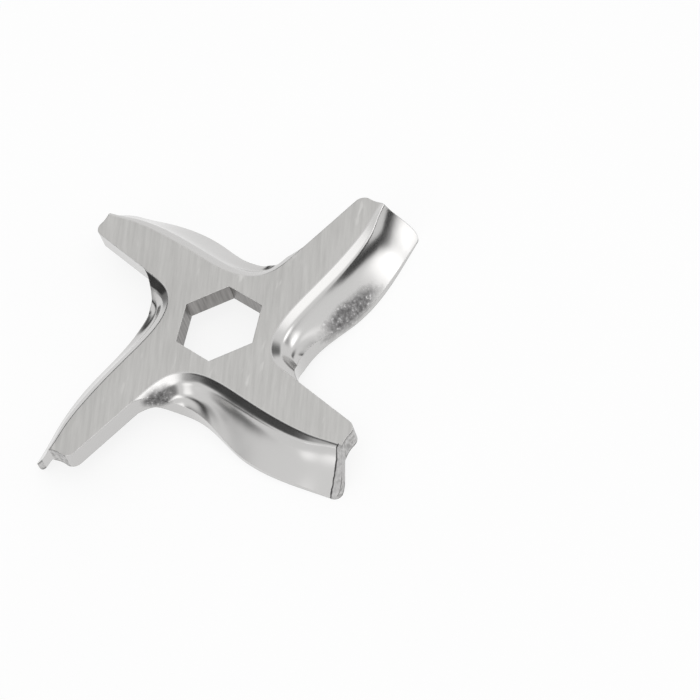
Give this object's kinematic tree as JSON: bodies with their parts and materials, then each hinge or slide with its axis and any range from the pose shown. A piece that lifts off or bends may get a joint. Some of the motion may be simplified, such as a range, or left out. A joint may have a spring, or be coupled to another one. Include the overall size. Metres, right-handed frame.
{
  "type": "meat grinder knife",
  "caption": "Cross-shaped cast steel knife for a meat grinder, with a flat ground face, hollow swept wings behind the cutting edges and a hexagonal drive hole.",
  "frame": {"origin": "on the axis of the drive hole, level with the lowest edges of the wings, which the knife rests on", "axes": "+Z out of the ground cutting face, along the drive hole's axis; +X parallel to one cutting edge, which lies on the counter-clockwise side of its arm seen from +Z"},
  "size_m": [0.0504, 0.0504, 0.0053],
  "materials": {
    "ground_steel": "cast steel, flat face satin ground, wings polished with rough cast patches"
  },
  "bodies": {
    "root": {"grinder_knife": "ground_steel"}
  },
  "joints": []
}
